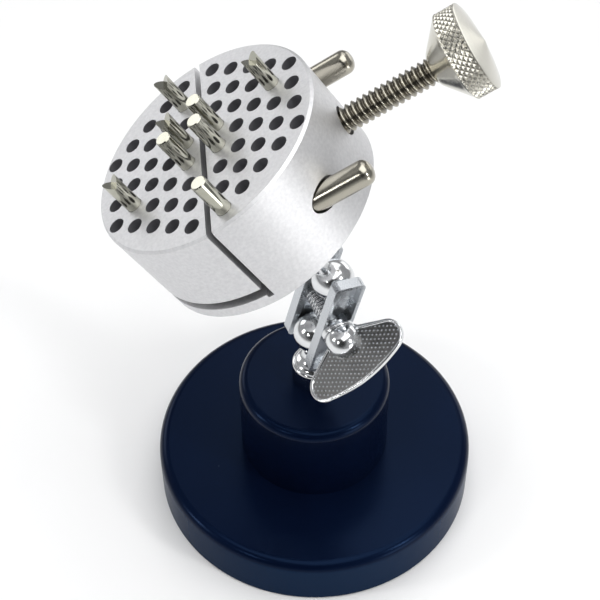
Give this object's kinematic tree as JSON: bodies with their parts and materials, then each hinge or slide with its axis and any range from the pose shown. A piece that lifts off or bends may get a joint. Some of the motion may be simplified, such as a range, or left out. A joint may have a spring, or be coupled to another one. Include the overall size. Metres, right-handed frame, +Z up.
{
  "type": "universal work holder",
  "caption": "Round split-jaw work holder with a field of peg holes, a knurled jaw screw and guide rods, held at any angle by a two-ball clamp with a wing screw on a heavy round base.",
  "frame": {"origin": "middle of the base's underside", "axes": "+Z up out of the base, -Y towards the viewer of the picture, +X to the viewer's right"},
  "size_m": [0.0945, 0.088, 0.1606],
  "materials": {
    "navy_enamel": "gloss navy enamel",
    "rubber": "matte",
    "zinc_steel": "zinc plated",
    "chrome": "polished",
    "satin_steel": "satin nickel plated",
    "spring_steel": "bright drawn",
    "blasted_aluminium": "bead blasted, clear anodised",
    "nickel_steel": "nickel plated",
    "ground_steel": "ground and polished"
  },
  "bodies": {
    "base": {"base_disc": "navy_enamel", "base_post": "navy_enamel", "base_pad": "rubber", "base_screw": "zinc_steel"},
    "lower_ball": {"lower_stud": "chrome"},
    "clamp": {"clamp_plate_front": "satin_steel", "clamp_plate_back": "satin_steel", "clamp_spring": "spring_steel", "clamp_nut": "zinc_steel", "clamp_washer": "chrome"},
    "lever": {"clamp_lever": "chrome"},
    "upper_ball": {"upper_stud": "chrome"},
    "head": {"fixed_jaw": "blasted_aluminium"},
    "jaw": {"moving_jaw": "blasted_aluminium", "guide_rod_front": "nickel_steel", "guide_rod_rear": "nickel_steel", "screw_pin": "zinc_steel"},
    "thumb_screw": {"jaw_screw": "nickel_steel", "thumb_knob": "nickel_steel"},
    "peg_body_1": {"peg_1": "ground_steel"},
    "peg_body_2": {"peg_2": "ground_steel"},
    "peg_body_3": {"peg_3": "ground_steel"},
    "peg_body_4": {"peg_4": "ground_steel"},
    "peg_body_5": {"peg_5": "ground_steel"},
    "peg_body_6": {"peg_6": "ground_steel"},
    "peg_body_7": {"peg_7": "ground_steel"},
    "peg_body_8": {"peg_8": "ground_steel"}
  },
  "joints": [
    {"name": "base_swivel", "type": "hinge", "parent": "base", "child": "lower_ball", "pos_m": [0, 0, 0.0607], "axis": [0, 0, 1], "continuous": true},
    {"name": "lower_tilt", "type": "hinge", "parent": "lower_ball", "child": "clamp", "pos_m": [0, 0, 0.0607], "axis": [0, 1, 0], "range_deg": [-42.5, 17.5]},
    {"name": "lever_turn", "type": "hinge", "parent": "clamp", "child": "lever", "pos_m": [0.00234, 0, 0.07124], "axis": [0.4126, -0.9063, -0.0915], "range_deg": [0, 180]},
    {"name": "upper_tilt", "type": "hinge", "parent": "clamp", "child": "upper_ball", "pos_m": [0.00468, 0, 0.08179], "axis": [0, 1, 0], "range_deg": [-4.5, 95.5]},
    {"name": "head_swivel", "type": "hinge", "parent": "upper_ball", "child": "head", "pos_m": [0.00468, 0, 0.08179], "axis": [-0.5446, 0, 0.8387], "continuous": true},
    {"name": "jaw_slide", "type": "slide", "parent": "head", "child": "jaw", "axis": [-0.8345, -0.0993, -0.5419], "range_m": [-0.00128, 0.016]},
    {"name": "screw_spin", "type": "hinge", "parent": "jaw", "child": "thumb_screw", "pos_m": [-0.01804, 0, 0.11676], "axis": [-0.8345, -0.0993, -0.5419], "range_deg": [-290, 3605]},
    {"name": "peg_1_lift", "type": "slide", "parent": "head", "child": "peg_body_1", "axis": [-0.5446, 0, 0.8387], "range_m": [0, 0.012]},
    {"name": "peg_2_lift", "type": "slide", "parent": "jaw", "child": "peg_body_2", "axis": [-0.5446, 0, 0.8387], "range_m": [0, 0.012]},
    {"name": "peg_3_lift", "type": "slide", "parent": "jaw", "child": "peg_body_3", "axis": [-0.5446, 0, 0.8387], "range_m": [0, 0.012]},
    {"name": "peg_4_lift", "type": "slide", "parent": "head", "child": "peg_body_4", "axis": [-0.5446, 0, 0.8387], "range_m": [0, 0.012]},
    {"name": "peg_5_lift", "type": "slide", "parent": "head", "child": "peg_body_5", "axis": [-0.5446, 0, 0.8387], "range_m": [0, 0.012]},
    {"name": "peg_6_lift", "type": "slide", "parent": "head", "child": "peg_body_6", "axis": [-0.5446, 0, 0.8387], "range_m": [0, 0.012]},
    {"name": "peg_7_lift", "type": "slide", "parent": "jaw", "child": "peg_body_7", "axis": [-0.5446, 0, 0.8387], "range_m": [0, 0.012]},
    {"name": "peg_8_lift", "type": "slide", "parent": "jaw", "child": "peg_body_8", "axis": [-0.5446, 0, 0.8387], "range_m": [0, 0.012]}
  ],
  "couplings": [
    {"joint": "screw_spin", "follows": "jaw_slide", "rad_per_m": 3927}
  ]
}
